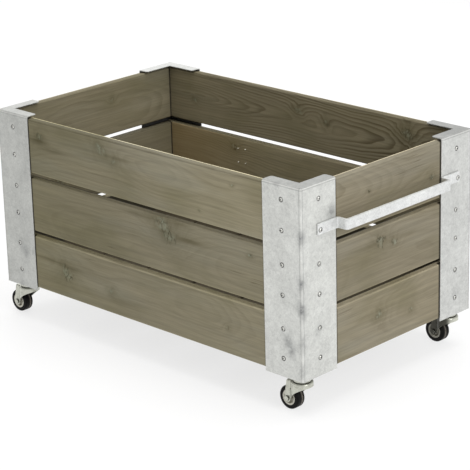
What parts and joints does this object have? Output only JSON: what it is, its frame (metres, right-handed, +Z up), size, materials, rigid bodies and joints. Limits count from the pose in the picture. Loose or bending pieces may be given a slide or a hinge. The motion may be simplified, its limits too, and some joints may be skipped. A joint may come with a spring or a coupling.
{
  "type": "rolling planter",
  "caption": "Open-top timber crate planter with galvanised corner brackets, swivel castors and a flat-bar pull handle.",
  "frame": {"origin": "on the ground, under the middle of the whole outline seen from above", "axes": "+X along the crate towards the handle, -Y the front, +Z up"},
  "size_m": [1.0326, 0.585, 0.525],
  "materials": {
    "weathered_wood": "matt weathered grey-brown timber with open grain",
    "floor_wood": "rough sawn pale timber",
    "galvanised_sheet": "hot-dip galvanised, mottled, satin",
    "galvanised_bar": "hot-dip galvanised, satin",
    "plated_fixings": "zinc plated",
    "castor_steel": "zinc plated pressed steel",
    "hub_plastic": "moulded grey",
    "black_rubber": "black, slightly dusty"
  },
  "bodies": {
    "root": {"front_board_low": "weathered_wood", "front_board_mid": "weathered_wood", "front_board_top": "weathered_wood", "back_board_low": "weathered_wood", "back_board_mid": "weathered_wood", "back_board_top": "weathered_wood", "left_board_low": "weathered_wood", "left_board_mid": "weathered_wood", "left_board_top": "weathered_wood", "right_board_low": "weathered_wood", "right_board_mid": "weathered_wood", "right_board_top": "weathered_wood", "bracket_front_left": "galvanised_sheet", "bracket_front_right": "galvanised_sheet", "bracket_back_left": "galvanised_sheet", "bracket_back_right": "galvanised_sheet", "bracket_screws": "plated_fixings", "handle": "galvanised_bar", "handle_screws": "plated_fixings", "bearer_front": "floor_wood", "bearer_back": "floor_wood", "bearer_screws": "plated_fixings", "floor_board_1": "floor_wood", "floor_board_2": "floor_wood", "floor_board_3": "floor_wood", "floor_board_4": "floor_wood", "floor_board_5": "floor_wood", "floor_board_6": "floor_wood", "floor_screws": "plated_fixings", "castor_nuts": "plated_fixings", "front_left_race": "castor_steel", "front_left_king_pin": "castor_steel", "front_right_race": "castor_steel", "front_right_king_pin": "castor_steel", "back_left_race": "castor_steel", "back_left_king_pin": "castor_steel", "back_right_race": "castor_steel", "back_right_king_pin": "castor_steel"},
    "front_left_swivel": {"front_left_fork": "castor_steel", "front_left_axle": "plated_fixings", "front_left_balls": "castor_steel"},
    "front_left_wheel": {"front_left_hub": "hub_plastic", "front_left_tyre": "black_rubber"},
    "front_right_swivel": {"front_right_fork": "castor_steel", "front_right_axle": "plated_fixings", "front_right_balls": "castor_steel"},
    "front_right_wheel": {"front_right_hub": "hub_plastic", "front_right_tyre": "black_rubber"},
    "back_left_swivel": {"back_left_fork": "castor_steel", "back_left_axle": "plated_fixings", "back_left_balls": "castor_steel"},
    "back_left_wheel": {"back_left_hub": "hub_plastic", "back_left_tyre": "black_rubber"},
    "back_right_swivel": {"back_right_fork": "castor_steel", "back_right_axle": "plated_fixings", "back_right_balls": "castor_steel"},
    "back_right_wheel": {"back_right_hub": "hub_plastic", "back_right_tyre": "black_rubber"}
  },
  "joints": [
    {"name": "front_left_swivel_turn", "type": "hinge", "parent": "root", "child": "front_left_swivel", "pos_m": [-0.45875, -0.254, 0.072], "axis": [0, 0, 1], "continuous": true},
    {"name": "front_left_wheel_spin", "type": "hinge", "parent": "front_left_swivel", "child": "front_left_wheel", "pos_m": [-0.48875, -0.254, 0.0275], "axis": [0, 1, 0], "continuous": true},
    {"name": "front_right_swivel_turn", "type": "hinge", "parent": "root", "child": "front_right_swivel", "pos_m": [0.44925, -0.254, 0.072], "axis": [0, 0, 1], "continuous": true},
    {"name": "front_right_wheel_spin", "type": "hinge", "parent": "front_right_swivel", "child": "front_right_wheel", "pos_m": [0.41925, -0.254, 0.0275], "axis": [0, 1, 0], "continuous": true},
    {"name": "back_left_swivel_turn", "type": "hinge", "parent": "root", "child": "back_left_swivel", "pos_m": [-0.45875, 0.254, 0.072], "axis": [0, 0, 1], "continuous": true},
    {"name": "back_left_wheel_spin", "type": "hinge", "parent": "back_left_swivel", "child": "back_left_wheel", "pos_m": [-0.48875, 0.254, 0.0275], "axis": [0, 1, 0], "continuous": true},
    {"name": "back_right_swivel_turn", "type": "hinge", "parent": "root", "child": "back_right_swivel", "pos_m": [0.44925, 0.254, 0.072], "axis": [0, 0, 1], "continuous": true},
    {"name": "back_right_wheel_spin", "type": "hinge", "parent": "back_right_swivel", "child": "back_right_wheel", "pos_m": [0.41925, 0.254, 0.0275], "axis": [0, 1, 0], "continuous": true}
  ]
}
